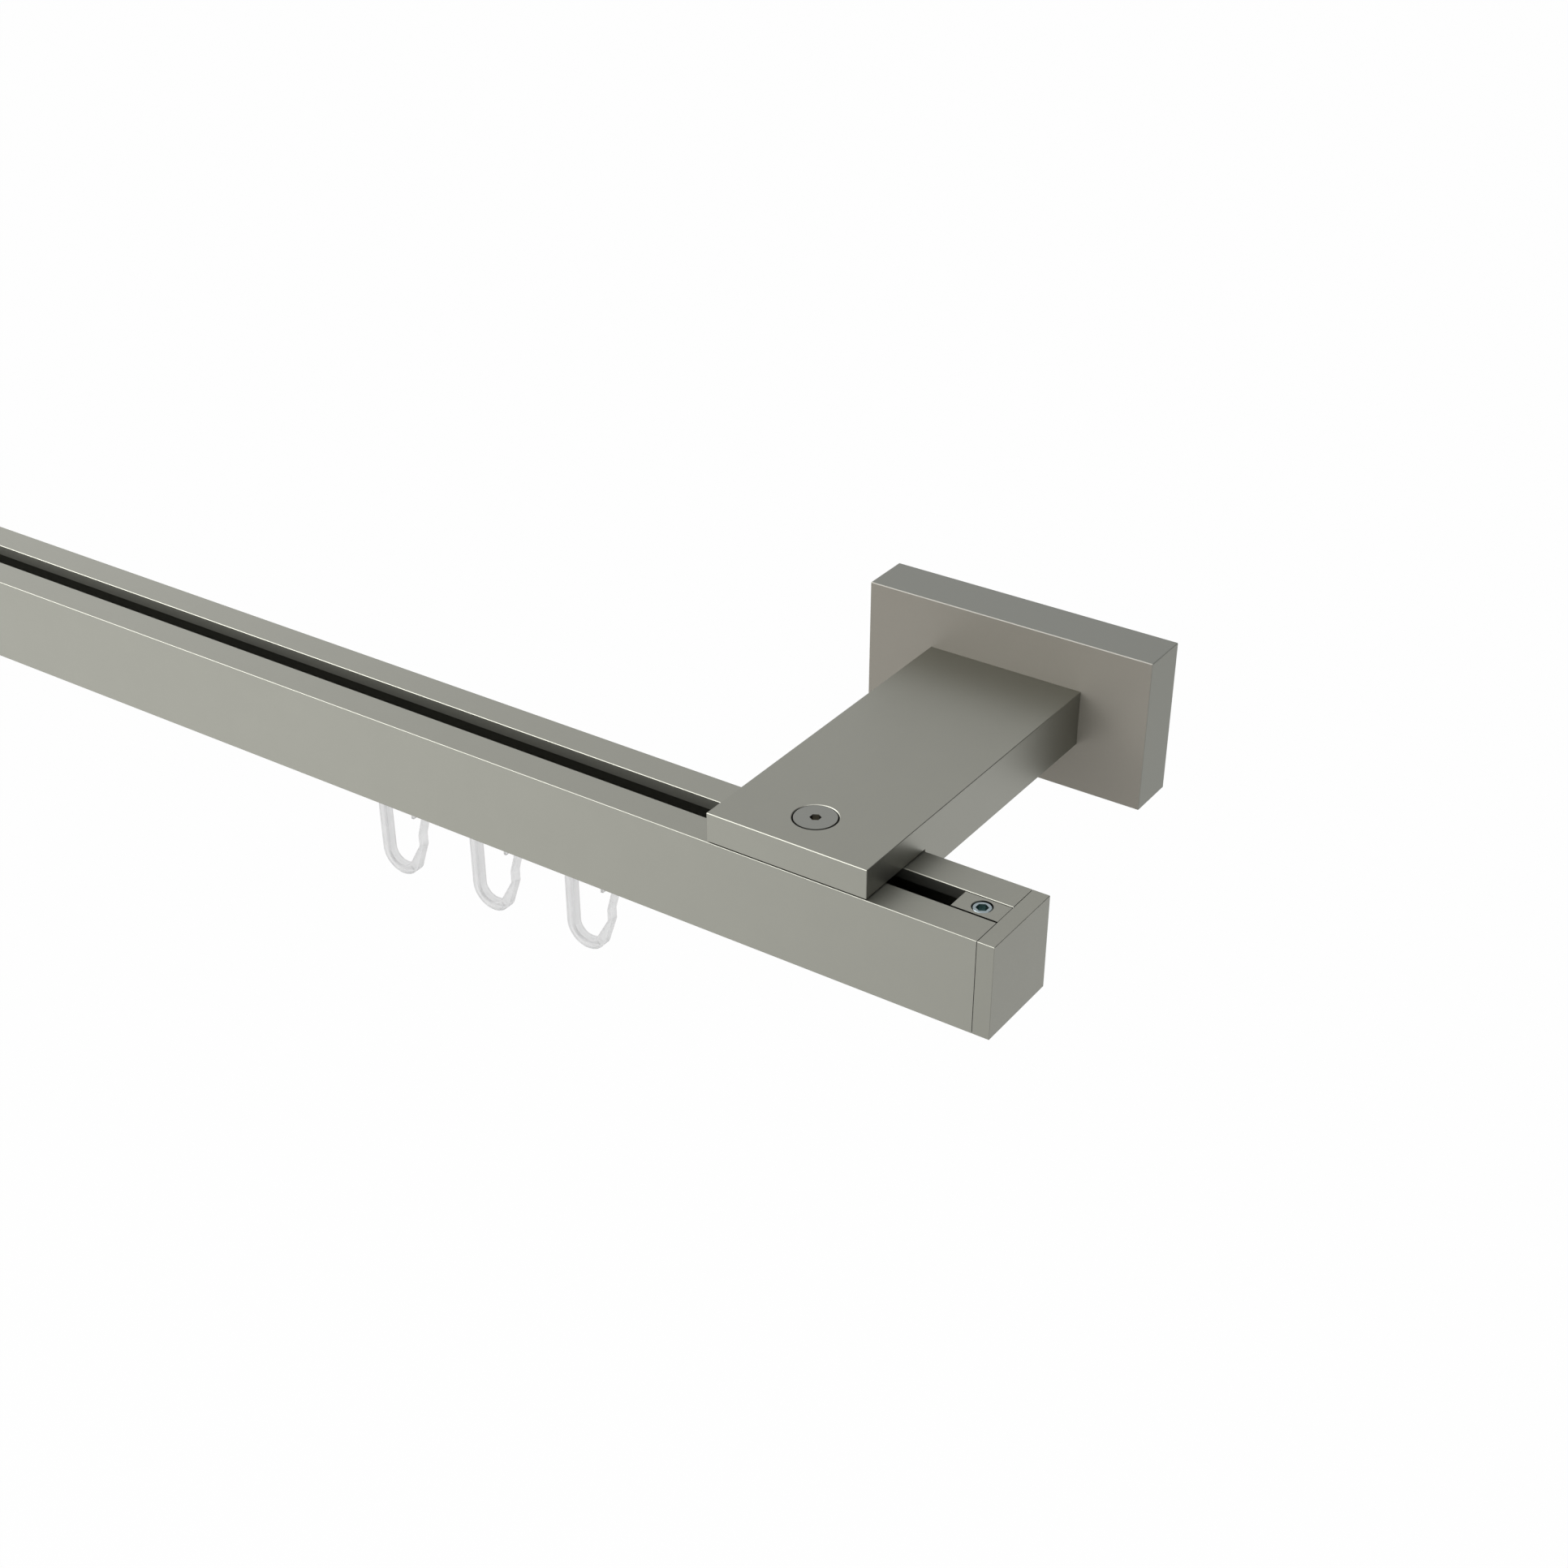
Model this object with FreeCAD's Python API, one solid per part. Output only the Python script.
"""Square curtain rod with an inner glider track, two wall brackets and two end caps.

The rod is a 20 mm square extrusion. A slot along its top takes the bracket nuts and the end cap
blocks, and a slot along its bottom lets the gliders run. Each bracket is a stepped flat arm that lies
on the rod and is screwed to a hollow rectangular rosette, which covers a plate fixed to the wall.
Each glider carries a swivelling hook for the curtain tape.

Millimetres. X runs along the rod, Y points into the wall and Z is up. The origin lies on the wall,
midway between the two brackets, at the mid-height of the arms. The left end is the mirror image of
the right end.
"""

import FreeCAD
import Part

import math
import os

Vector = FreeCAD.Vector

# Overall sizes
overall_length = 1000.0
wall_to_rod_front = 90.7

# Rod extrusion
rod_side = 20.0
rod_wall = 1.6
rod_edge_chamfer = 0.07
slot_width = 6.0
slot_edge_chamfer = 0.1
lip_depth = 2.4
top_channel_height = 6.0
web_thickness = 1.6

# End caps
cap_thickness = 3.5
cap_seam = 0.14
cap_edge_chamfer = 0.08
block_length = 9.7
block_slot_clearance = 0.35
block_channel_clearance = 0.6
block_floor_clearance = 0.3
cap_grub_from_cap = 4.75
cap_grub_recess = 0.14
cap_screw_radius = 1.25
cap_screw_head_radius = 2.25
cap_screw_head_height = 1.6
cap_screw_depth_in_cap = 2.4
cap_screw_half_spacing = 5.2
cap_screw_hole_end = 0.3

# Bracket arms
bracket_inset = 43.9
arm_width = 35.0
arm_thickness = 12.0
arm_seat_thickness = 6.4
arm_step_clearance = 0.2
arm_seat_gap = 0.35
arm_seat_inset = 1.0
arm_edge_chamfer = 0.1

# Clamp screw and slot nut
clamp_head_radius = 4.14
clamp_head_height = 3.0
clamp_head_clearance = 0.3
clamp_hole_chamfer = 0.13
clamp_hex = 2.0
clamp_hex_depth = 1.2
clamp_screw_radius = 2.5
clamp_hole_clearance = 0.25
clamp_screw_beyond_nut = 0.8
nut_length = 24.0
nut_height = 3.6
nut_neck_height = 2.0

# Rosettes and wall plates
rosette_width = 65.0
rosette_height = 33.2
rosette_depth = 11.0
rosette_front = 3.0
rosette_rim = 4.0
rosette_edge_chamfer = 0.15
recess_corner_round = 1.5
wall_plate_thickness = 6.0
wall_plate_clearance = 0.2
wall_hole_half_spacing = 20.0
wall_hole_radius = 2.6
wall_countersink_radius = 5.2
rosette_grub_length = 5.0
rosette_grub_recess = 0.3
grub_seat_clearance = 0.1

# Screws that hold the arm to its rosette
arm_screw_radius = 2.0
arm_screw_head_radius = 3.9
arm_screw_length = 14.0
arm_screw_half_spacing = 9.0
arm_screw_sink = 0.2
arm_hole_spare_depth = 1.0

# Threads and sockets, drawn as plain cylinders and hexagons
thread_clearance = 0.05
grub_radius = 2.0
grub_rim_chamfer = 0.3
small_hex = 2.15
small_hex_depth = 2.0
grub_hex_depth = 1.6
hex_sides = 6
same_place = 1e-6

# Gliders
gliders_per_end = 3
first_glider_from_end = 99.05
glider_pitch = 25.25
glider_length = 9.0
glider_channel_clearance = 1.5
glider_head_height = 2.6
glider_lip_clearance = 0.15
glider_neck_length = 6.0
glider_neck_clearance = 0.3
glider_collar_radius = 3.9
glider_collar_gap = 0.35
glider_collar_height = 1.5
glider_edge_round = 0.6

# Swivel pins
pin_radius = 1.5
pin_clearance = 0.05
pin_head_radius = 2.1
pin_head_height = 1.0
pin_head_clearance = 0.3
pin_head_lift = 0.1

# Hooks. Places are measured across from the leg's outer face and above the hook's lowest point.
hook_drop = 23.55
hook_gap = 0.4
hook_thickness = 1.9
hook_bar_height = 2.3
hook_leg_width = 2.05
hook_bend_radius = 5.05
tongue_foot_angle = 60.0
tongue_thickness = 0.9
tongue_knee = (11.6, 8.85)
tongue_waist = (11.6, 11.5)
tongue_tip = (13.2, 17.2)
nose_width = 0.6
nose_from_leg = 9.2
nose_tip_above = 15.15
groove_rim = 0.55
groove_depth = 0.5
groove_end_angle = 45.0

# Places that follow from the sizes above
rod_front_y = -wall_to_rod_front
rod_back_y = rod_front_y + rod_side
rod_mid_y = (rod_front_y + rod_back_y) / 2
arm_top_z = arm_thickness / 2
rod_top_z = arm_top_z - arm_seat_thickness
rod_bottom_z = rod_top_z - rod_side
channel_roof_z = rod_top_z - lip_depth
web_top_z = channel_roof_z - top_channel_height
web_bottom_z = web_top_z - web_thickness
track_floor_z = rod_bottom_z + lip_depth
channel_width = rod_side - 2 * rod_wall
rod_end_x = overall_length / 2 - cap_thickness - cap_seam
cap_inner_x = overall_length / 2 - cap_thickness
bracket_x = overall_length / 2 - bracket_inset
rosette_front_y = -rosette_depth
recess_floor_y = rosette_front_y + rosette_front
recess_width = rosette_width - 2 * rosette_rim
recess_height = rosette_height - 2 * rosette_rim


def block(x_range, y_range, z_range):
    """A box between two places along each axis."""
    low = Vector(x_range[0], y_range[0], z_range[0])
    size = (x_range[1] - x_range[0], y_range[1] - y_range[0], z_range[1] - z_range[0])
    return Part.makeBox(size[0], size[1], size[2], low)


def around(middle, width):
    """The two ends of a width centred on a place."""
    return (middle - width / 2, middle + width / 2)


def rod_of(radius, start, direction, length):
    """A cylinder that starts at a point and runs along a direction."""
    return Part.makeCylinder(radius, length, start, direction)


def cone_of(start_radius, end_radius, start, direction, length):
    """A cone that starts at a point and runs along a direction."""
    return Part.makeCone(start_radius, end_radius, length, start, direction)


def key_socket(start, direction, corner_direction, width, depth):
    """A hexagonal prism to cut away for a key. One of its corners points along the corner direction."""
    corner_radius = width / math.sqrt(3)
    across = direction.cross(corner_direction)
    corners = []
    for k in range(hex_sides + 1):
        angle = math.radians(360 / hex_sides * k)
        offset = corner_direction * math.cos(angle) + across * math.sin(angle)
        corners.append(start + offset * corner_radius)
    return Part.Face(Part.makePolygon(corners)).extrude(direction * depth)


def long_edges(shape, places):
    """Edges that run along X at the given (y, z) places."""
    found = []
    for edge in shape.Edges:
        ends = [(vertex.Y, vertex.Z) for vertex in edge.Vertexes]
        for y, z in places:
            if all(math.dist(end, (y, z)) < same_place for end in ends):
                found.append(edge)
    return found


def lies_at(vertex, x, z):
    """Whether a vertex has the given x and z."""
    return abs(vertex.X - x) < same_place and abs(vertex.Z - z) < same_place


def mirrored(shape):
    """The left end's copy of a piece of the right end."""
    return shape.mirror(Vector(0, 0, 0), Vector(1, 0, 0))


def curtain_rod():
    """The square extrusion: two slotted channels, one above and one below a web."""
    length = (-rod_end_x, rod_end_x)
    slot = around(rod_mid_y, slot_width)
    channel = around(rod_mid_y, channel_width)
    section = block(length, (rod_front_y, rod_back_y), (rod_bottom_z, rod_top_z))
    section = section.cut(block(length, slot, (channel_roof_z, rod_top_z)))
    section = section.cut(block(length, channel, (web_top_z, channel_roof_z)))
    section = section.cut(block(length, channel, (track_floor_z, web_bottom_z)))
    section = section.cut(block(length, slot, (rod_bottom_z, track_floor_z)))
    section = section.removeSplitter()
    corners = [(y, z) for y in (rod_front_y, rod_back_y) for z in (rod_bottom_z, rod_top_z)]
    section = section.makeChamfer(rod_edge_chamfer, long_edges(section, corners))
    slot_corners = [(y, z) for y in slot for z in (rod_bottom_z, rod_top_z)]
    return section.makeChamfer(slot_edge_chamfer, long_edges(section, slot_corners))


def cap_screw_places():
    """Centres of the two screws between a cap block and its cap plate, as (y, z)."""
    middle_z = (channel_roof_z + web_top_z + block_floor_clearance) / 2
    return [(rod_mid_y + side * cap_screw_half_spacing, middle_z) for side in (-1, 1)]


def end_cap_plate():
    """The square plate that closes the rod's end, with two blind holes for its screws."""
    plate = block(
        (cap_inner_x, overall_length / 2), (rod_front_y, rod_back_y), (rod_bottom_z, rod_top_z)
    )
    outer_edges = [e for e in plate.Edges if any(v.X > cap_inner_x + same_place for v in e.Vertexes)]
    plate = plate.makeChamfer(cap_edge_chamfer, outer_edges)
    depth = cap_screw_depth_in_cap + cap_screw_hole_end
    for y, z in cap_screw_places():
        hole = rod_of(cap_screw_radius + thread_clearance, Vector(cap_inner_x, y, z), Vector(1, 0, 0), depth)
        plate = plate.cut(hole)
    return plate


def cap_grub_place():
    """Where the cap's grub screw axis crosses the rod's top, as (x, y)."""
    return cap_inner_x - cap_grub_from_cap, rod_mid_y


def end_cap_block():
    """The T-shaped block behind the cap plate: its neck is in the top slot, its foot in the channel."""
    length = (cap_inner_x - block_length, cap_inner_x)
    neck_width = slot_width - 2 * block_slot_clearance
    foot_width = channel_width - block_channel_clearance
    foot_bottom = web_top_z + block_floor_clearance
    neck = block(length, around(rod_mid_y, neck_width), (foot_bottom, rod_top_z))
    body = neck.fuse(block(length, around(rod_mid_y, foot_width), (foot_bottom, channel_roof_z)))
    body = body.removeSplitter()
    seam = [e for e in body.Edges if all(lies_at(v, cap_inner_x, rod_top_z) for v in e.Vertexes)]
    body = body.makeChamfer(cap_seam, seam)
    for y, z in cap_screw_places():
        start = Vector(length[0], y, z)
        outward = Vector(1, 0, 0)
        body = body.cut(rod_of(cap_screw_radius + thread_clearance, start, outward, block_length))
        head_radius = cap_screw_head_radius + thread_clearance
        body = body.cut(rod_of(head_radius, start, outward, cap_screw_head_height))
    x, y = cap_grub_place()
    drill = rod_of(grub_radius + thread_clearance, Vector(x, y, web_top_z), Vector(0, 0, 1), rod_side)
    return body.cut(drill)


def end_cap_screws():
    """The two small screws that draw the cap plate onto its block."""
    screws = []
    start_x = cap_inner_x - block_length
    shank = block_length - cap_screw_head_height + cap_screw_depth_in_cap
    for y, z in cap_screw_places():
        head = rod_of(cap_screw_head_radius, Vector(start_x, y, z), Vector(1, 0, 0), cap_screw_head_height)
        thread_start = Vector(start_x + cap_screw_head_height, y, z)
        screw = head.fuse(rod_of(cap_screw_radius, thread_start, Vector(1, 0, 0), shank))
        outward, corner = Vector(1, 0, 0), Vector(0, 1, 0)
        socket = key_socket(Vector(start_x, y, z), outward, corner, small_hex, cap_screw_head_height / 2)
        screws.append(screw.cut(socket))
    return Part.makeCompound(screws)


def grub_screw(top, direction, length, cone_tip):
    """A headless socket screw. Direction runs from the socket end to the tip."""
    rim = cone_of(grub_radius - grub_rim_chamfer, grub_radius, top, direction, grub_rim_chamfer)
    tip_length = grub_radius / 2 if cone_tip else grub_rim_chamfer
    tip_radius = grub_radius - tip_length
    shank_length = length - grub_rim_chamfer - tip_length
    shank = rod_of(grub_radius, top + direction * grub_rim_chamfer, direction, shank_length)
    tip = cone_of(grub_radius, tip_radius, top + direction * (length - tip_length), direction, tip_length)
    screw = rim.fuse(shank).fuse(tip).removeSplitter()
    return screw.cut(key_socket(top, direction, Vector(0, 1, 0), small_hex, grub_hex_depth))


def end_cap_grub_screw():
    """The screw that presses on the web and so wedges the cap block under the lips."""
    x, y = cap_grub_place()
    top_z = rod_top_z - cap_grub_recess
    return grub_screw(Vector(x, y, top_z), Vector(0, 0, -1), top_z - web_top_z, False)


def arm_screw_places():
    """Centres of the two screws between a rosette and its arm, as x."""
    return [bracket_x + side * arm_screw_half_spacing for side in (-1, 1)]


def bracket_arm():
    """The flat arm: full thickness behind the rod, and stepped down where it lies on the rod's top."""
    step_y = rod_back_y + arm_step_clearance
    seat_z = rod_top_z + arm_seat_gap
    outline = [
        (rod_front_y, arm_top_z),
        (rosette_front_y, arm_top_z),
        (rosette_front_y, -arm_thickness / 2),
        (step_y, -arm_thickness / 2),
        (step_y, seat_z),
        (rod_front_y, seat_z),
        (rod_front_y, arm_top_z),
    ]
    low_x = bracket_x - arm_width / 2
    face = Part.Face(Part.makePolygon([Vector(low_x, y, z) for y, z in outline]))
    arm = face.extrude(Vector(arm_width, 0, 0))
    at_rosette = [e for e in arm.Edges if all(abs(v.Y - rosette_front_y) < same_place for v in e.Vertexes)]
    at_seat = [e for e in arm.Edges if all(abs(v.Z - seat_z) < same_place for v in e.Vertexes)]
    sharp = at_rosette + at_seat
    arm = arm.makeChamfer(arm_edge_chamfer, [e for e in arm.Edges if not any(e.isSame(s) for s in sharp)])
    pad_width = arm_width - 2 * arm_seat_inset
    pad_depth = (rod_front_y + arm_seat_inset, rod_back_y - arm_seat_inset)
    arm = arm.fuse(block(around(bracket_x, pad_width), pad_depth, (rod_top_z, seat_z)))
    hole_radius = clamp_head_radius + clamp_head_clearance
    hole_top = Vector(bracket_x, rod_mid_y, arm_top_z)
    down = Vector(0, 0, -1)
    arm = arm.cut(rod_of(hole_radius, hole_top, down, clamp_head_height))
    arm = arm.cut(cone_of(hole_radius + clamp_hole_chamfer, hole_radius, hole_top, down, clamp_hole_chamfer))
    clear_radius = clamp_screw_radius + clamp_hole_clearance
    arm = arm.cut(rod_of(clear_radius, hole_top, down, arm_seat_thickness))
    depth = arm_screw_length - rosette_front + arm_screw_sink + arm_hole_spare_depth
    for x in arm_screw_places():
        start = Vector(x, rosette_front_y, 0)
        arm = arm.cut(rod_of(arm_screw_radius + thread_clearance, start, Vector(0, -1, 0), depth))
    return arm


def clamp_screw():
    """The flush round-headed screw that draws the slot nut up and clamps the rod to the arm."""
    head_start = Vector(bracket_x, rod_mid_y, arm_top_z)
    down = Vector(0, 0, -1)
    head = rod_of(clamp_head_radius, head_start, down, clamp_head_height)
    nut_bottom_z = channel_roof_z - nut_height
    shank_start = arm_top_z - clamp_head_height
    shank_length = shank_start - nut_bottom_z + clamp_screw_beyond_nut
    shank = rod_of(clamp_screw_radius, Vector(bracket_x, rod_mid_y, shank_start), down, shank_length)
    screw = head.fuse(shank).removeSplitter()
    return screw.cut(key_socket(head_start, down, Vector(0, 1, 0), clamp_hex, clamp_hex_depth))


def slot_nut():
    """The T-shaped nut under the lips of the top slot."""
    length = around(bracket_x, nut_length)
    foot_width = channel_width - block_channel_clearance
    neck_width = slot_width - 2 * block_slot_clearance
    bottom = channel_roof_z - nut_height
    nut = block(length, around(rod_mid_y, foot_width), (bottom, channel_roof_z))
    nut = nut.fuse(block(length, around(rod_mid_y, neck_width), (bottom, channel_roof_z + nut_neck_height)))
    nut = nut.removeSplitter()
    start = Vector(bracket_x, rod_mid_y, bottom)
    return nut.cut(rod_of(clamp_screw_radius + thread_clearance, start, Vector(0, 0, 1), rod_side))


def rounded_block(x_range, y_range, z_range, radius):
    """A box whose four edges along Y are rounded."""
    body = block(x_range, y_range, z_range)
    along_y = [e for e in body.Edges if abs(e.Vertexes[0].X - e.Vertexes[-1].X) < same_place]
    along_y = [e for e in along_y if abs(e.Vertexes[0].Z - e.Vertexes[-1].Z) < same_place]
    return body.makeFillet(radius, along_y)


def rosette():
    """The rectangular wall rosette: a hollow box, open towards the wall."""
    body = block(
        around(bracket_x, rosette_width), (rosette_front_y, 0), around(0, rosette_height)
    )
    front_edges = [e for e in body.Edges if any(abs(v.Y) > same_place for v in e.Vertexes)]
    body = body.makeChamfer(rosette_edge_chamfer, front_edges)
    across, up = around(bracket_x, recess_width), around(0, recess_height)
    body = body.cut(rounded_block(across, (recess_floor_y, 0), up, recess_corner_round))
    for x in arm_screw_places():
        body = body.cut(arm_screw_shape(x, thread_clearance, rosette_front))
    grub_hole_start = Vector(bracket_x, -wall_plate_thickness / 2, -rosette_height / 2)
    return body.cut(rod_of(grub_radius + thread_clearance, grub_hole_start, Vector(0, 0, 1), rosette_rim))


def arm_screw_shape(x, growth, length):
    """A countersunk screw at x, grown all over by the given clearance, with its head in the recess floor."""
    out = Vector(0, -1, 0)
    head_start = Vector(x, recess_floor_y - arm_screw_sink, 0)
    head_radius, radius = arm_screw_head_radius + growth, arm_screw_radius + growth
    head = cone_of(head_radius, radius, head_start, out, head_radius - radius)
    sink = rod_of(head_radius, Vector(x, recess_floor_y, 0), out, arm_screw_sink)
    shape = head.fuse(rod_of(radius, head_start, out, length))
    return shape.fuse(sink) if growth else shape


def arm_screws():
    """The two countersunk screws that hold the arm to the rosette from inside."""
    screws = []
    for x in arm_screw_places():
        screw = arm_screw_shape(x, 0, arm_screw_length)
        head_start = Vector(x, recess_floor_y - arm_screw_sink, 0)
        socket = key_socket(head_start, Vector(0, -1, 0), Vector(1, 0, 0), small_hex, small_hex_depth)
        screws.append(screw.cut(socket))
    return Part.makeCompound(screws)


def wall_plate():
    """The plate that is screwed to the wall and that the rosette slips over."""
    width = recess_width - 2 * wall_plate_clearance
    height = recess_height - 2 * wall_plate_clearance
    plate = rounded_block(
        around(bracket_x, width), (-wall_plate_thickness, 0), around(0, height), recess_corner_round
    )
    for side in (-1, 1):
        x = bracket_x + side * wall_hole_half_spacing
        front = Vector(x, -wall_plate_thickness, 0)
        inward = Vector(0, 1, 0)
        plate = plate.cut(rod_of(wall_hole_radius, front, inward, wall_plate_thickness))
        sink_depth = wall_countersink_radius - wall_hole_radius
        plate = plate.cut(cone_of(wall_countersink_radius, wall_hole_radius, front, inward, sink_depth))
    tip = Vector(bracket_x, -wall_plate_thickness / 2, -height / 2)
    dimple_radius = grub_radius + grub_seat_clearance
    tip_rise = rosette_grub_recess + rosette_grub_length - rosette_rim - wall_plate_clearance
    return plate.cut(rod_of(dimple_radius, tip, Vector(0, 0, 1), tip_rise + grub_seat_clearance))


def rosette_grub_screw():
    """The screw under the rosette that locks it onto the wall plate."""
    start = Vector(bracket_x, -wall_plate_thickness / 2, -rosette_height / 2 + rosette_grub_recess)
    return grub_screw(start, Vector(0, 0, 1), rosette_grub_length, True)


def collar_bottom_z():
    """The underside of a glider, below the rod."""
    return rod_bottom_z - glider_collar_gap - glider_collar_height


def head_bottom_z():
    """The underside of a glider's head, which runs on the lips."""
    return track_floor_z + glider_lip_clearance


def glider():
    """A glider centred on x = 0: a wide head above the lips, a neck in the slot and a collar below."""
    head_width = channel_width - 2 * glider_channel_clearance
    head_top = head_bottom_z() + glider_head_height
    head = block(
        around(0, glider_length), around(rod_mid_y, head_width), (head_bottom_z(), head_top)
    )
    upright = [e for e in head.Edges if abs(e.Vertexes[0].Z - e.Vertexes[-1].Z) > same_place]
    head = head.makeFillet(glider_edge_round, upright)
    neck_width = slot_width - 2 * glider_neck_clearance
    collar_top = rod_bottom_z - glider_collar_gap
    neck = block(around(0, glider_neck_length), around(rod_mid_y, neck_width), (collar_top, head_top))
    collar = rod_of(
        glider_collar_radius, Vector(0, rod_mid_y, collar_bottom_z()), Vector(0, 0, 1), glider_collar_height
    )
    body = head.fuse(neck).fuse(collar).removeSplitter()
    up = Vector(0, 0, 1)
    bore_start = Vector(0, rod_mid_y, collar_bottom_z())
    body = body.cut(rod_of(pin_radius + pin_clearance, bore_start, up, head_top - collar_bottom_z()))
    pocket_start = Vector(0, rod_mid_y, head_bottom_z())
    return body.cut(rod_of(pin_head_radius + pin_head_clearance, pocket_start, up, glider_head_height))


def hook_place(across, above):
    """A point of the hook's outline: across from the leg's outer face, and above the hook's lowest point."""
    return Vector(across - hook_bend_radius, 0, rod_bottom_z - hook_drop + above)


def bend_place(radius, angle):
    """A point on a circle about the bend's centre, at an angle in degrees from straight down."""
    turn = math.radians(angle)
    return (hook_bend_radius + radius * math.sin(turn), hook_bend_radius - radius * math.cos(turn))


def straight(start, end):
    """A straight edge between two places of the hook's outline."""
    return Part.LineSegment(hook_place(*start), hook_place(*end)).toShape()


def bend(radius, start_angle, end_angle):
    """An arc about the bend's centre, between two angles from straight down."""
    middle_angle = (start_angle + end_angle) / 2
    places = [bend_place(radius, angle) for angle in (start_angle, middle_angle, end_angle)]
    return Part.Arc(*[hook_place(*place) for place in places]).toShape()


def path(*places):
    """Straight edges from place to place."""
    return [straight(start, end) for start, end in zip(places, places[1:])]


def hook_outline():
    """The closed outline of the hook, seen from the room: leg, bend, springy tongue, nose and bar."""
    height = hook_drop - glider_collar_gap - glider_collar_height - hook_gap
    bar_bottom = height - hook_bar_height
    inner_radius = hook_bend_radius - hook_leg_width
    outer = [tongue_knee, tongue_waist, tongue_tip]
    inner = [(across - tongue_thickness, above) for across, above in outer]
    nose_inner, nose_outer = nose_from_leg, nose_from_leg + nose_width
    edges = [bend(hook_bend_radius, -90, tongue_foot_angle)]
    edges += path(bend_place(hook_bend_radius, tongue_foot_angle), *outer)
    edges += path(tongue_tip, *reversed(inner), bend_place(inner_radius, tongue_foot_angle))
    edges += [bend(inner_radius, tongue_foot_angle, -90)]
    edges += path(
        (hook_leg_width, hook_bend_radius),
        (hook_leg_width, bar_bottom),
        (nose_inner, bar_bottom),
        (nose_inner, nose_tip_above),
        (nose_outer, nose_tip_above),
        (nose_outer, height),
        (0, height),
        (0, hook_bend_radius),
    )
    return Part.Face(Part.Wire(edges))


def hook_groove():
    """The outline of the groove between the rims of the leg and the bend."""
    height = hook_drop - glider_collar_gap - glider_collar_height - hook_gap
    top = height - hook_bar_height
    outer_radius = hook_bend_radius - groove_rim
    inner_radius = hook_bend_radius - hook_leg_width + groove_rim
    edges = [bend(outer_radius, -90, groove_end_angle)]
    edges += path(bend_place(outer_radius, groove_end_angle), bend_place(inner_radius, groove_end_angle))
    edges += [bend(inner_radius, groove_end_angle, -90)]
    edges += path(
        (hook_leg_width - groove_rim, hook_bend_radius),
        (hook_leg_width - groove_rim, top),
        (groove_rim, top),
        (groove_rim, hook_bend_radius),
    )
    return Part.Face(Part.Wire(edges))


def slab(face, low_y, thickness):
    """A face of the hook's plane, moved to a depth and thickened towards the wall."""
    moved = face.copy()
    moved.translate(Vector(0, low_y, 0))
    return moved.extrude(Vector(0, thickness, 0))


def hook():
    """A hook about x = 0, its loop parallel to the rod, with the mushroom pin it swivels on."""
    low_y = rod_mid_y - hook_thickness / 2
    body = slab(hook_outline(), low_y, hook_thickness)
    for groove_y in (low_y, low_y + hook_thickness - groove_depth):
        body = body.cut(slab(hook_groove(), groove_y, groove_depth))
    up = Vector(0, 0, 1)
    pin_start = Vector(0, rod_mid_y, collar_bottom_z() - hook_gap)
    seat_z = head_bottom_z() + pin_head_lift
    pin = rod_of(pin_radius, pin_start, up, seat_z - pin_start.z)
    head = rod_of(pin_head_radius, Vector(0, rod_mid_y, seat_z), up, pin_head_height)
    return body.fuse(pin).fuse(head).removeSplitter()


def write(name, shape):
    """Writes one piece to its own file."""
    shape.exportStep(os.path.join("parts", name + ".step"))


END_PIECES = {
    "end_cap_plate": end_cap_plate,
    "end_cap_block": end_cap_block,
    "end_cap_screws": end_cap_screws,
    "end_cap_grub_screw": end_cap_grub_screw,
    "bracket_arm": bracket_arm,
    "clamp_screw": clamp_screw,
    "slot_nut": slot_nut,
    "rosette": rosette,
    "wall_plate": wall_plate,
    "arm_screws": arm_screws,
    "rosette_grub_screw": rosette_grub_screw,
}


def main():
    os.makedirs("parts", exist_ok=True)
    write("curtain_rod", curtain_rod())
    for name, make in END_PIECES.items():
        piece = make()
        write(name + "_right", piece)
        write(name + "_left", mirrored(piece))
    for number in range(gliders_per_end):
        x = overall_length / 2 - first_glider_from_end - number * glider_pitch
        for name, make in (("glider", glider), ("hook", hook)):
            piece = make()
            piece.translate(Vector(x, 0, 0))
            write(f"{name}_right_{number + 1}", piece)
            write(f"{name}_left_{number + 1}", mirrored(piece))


main()
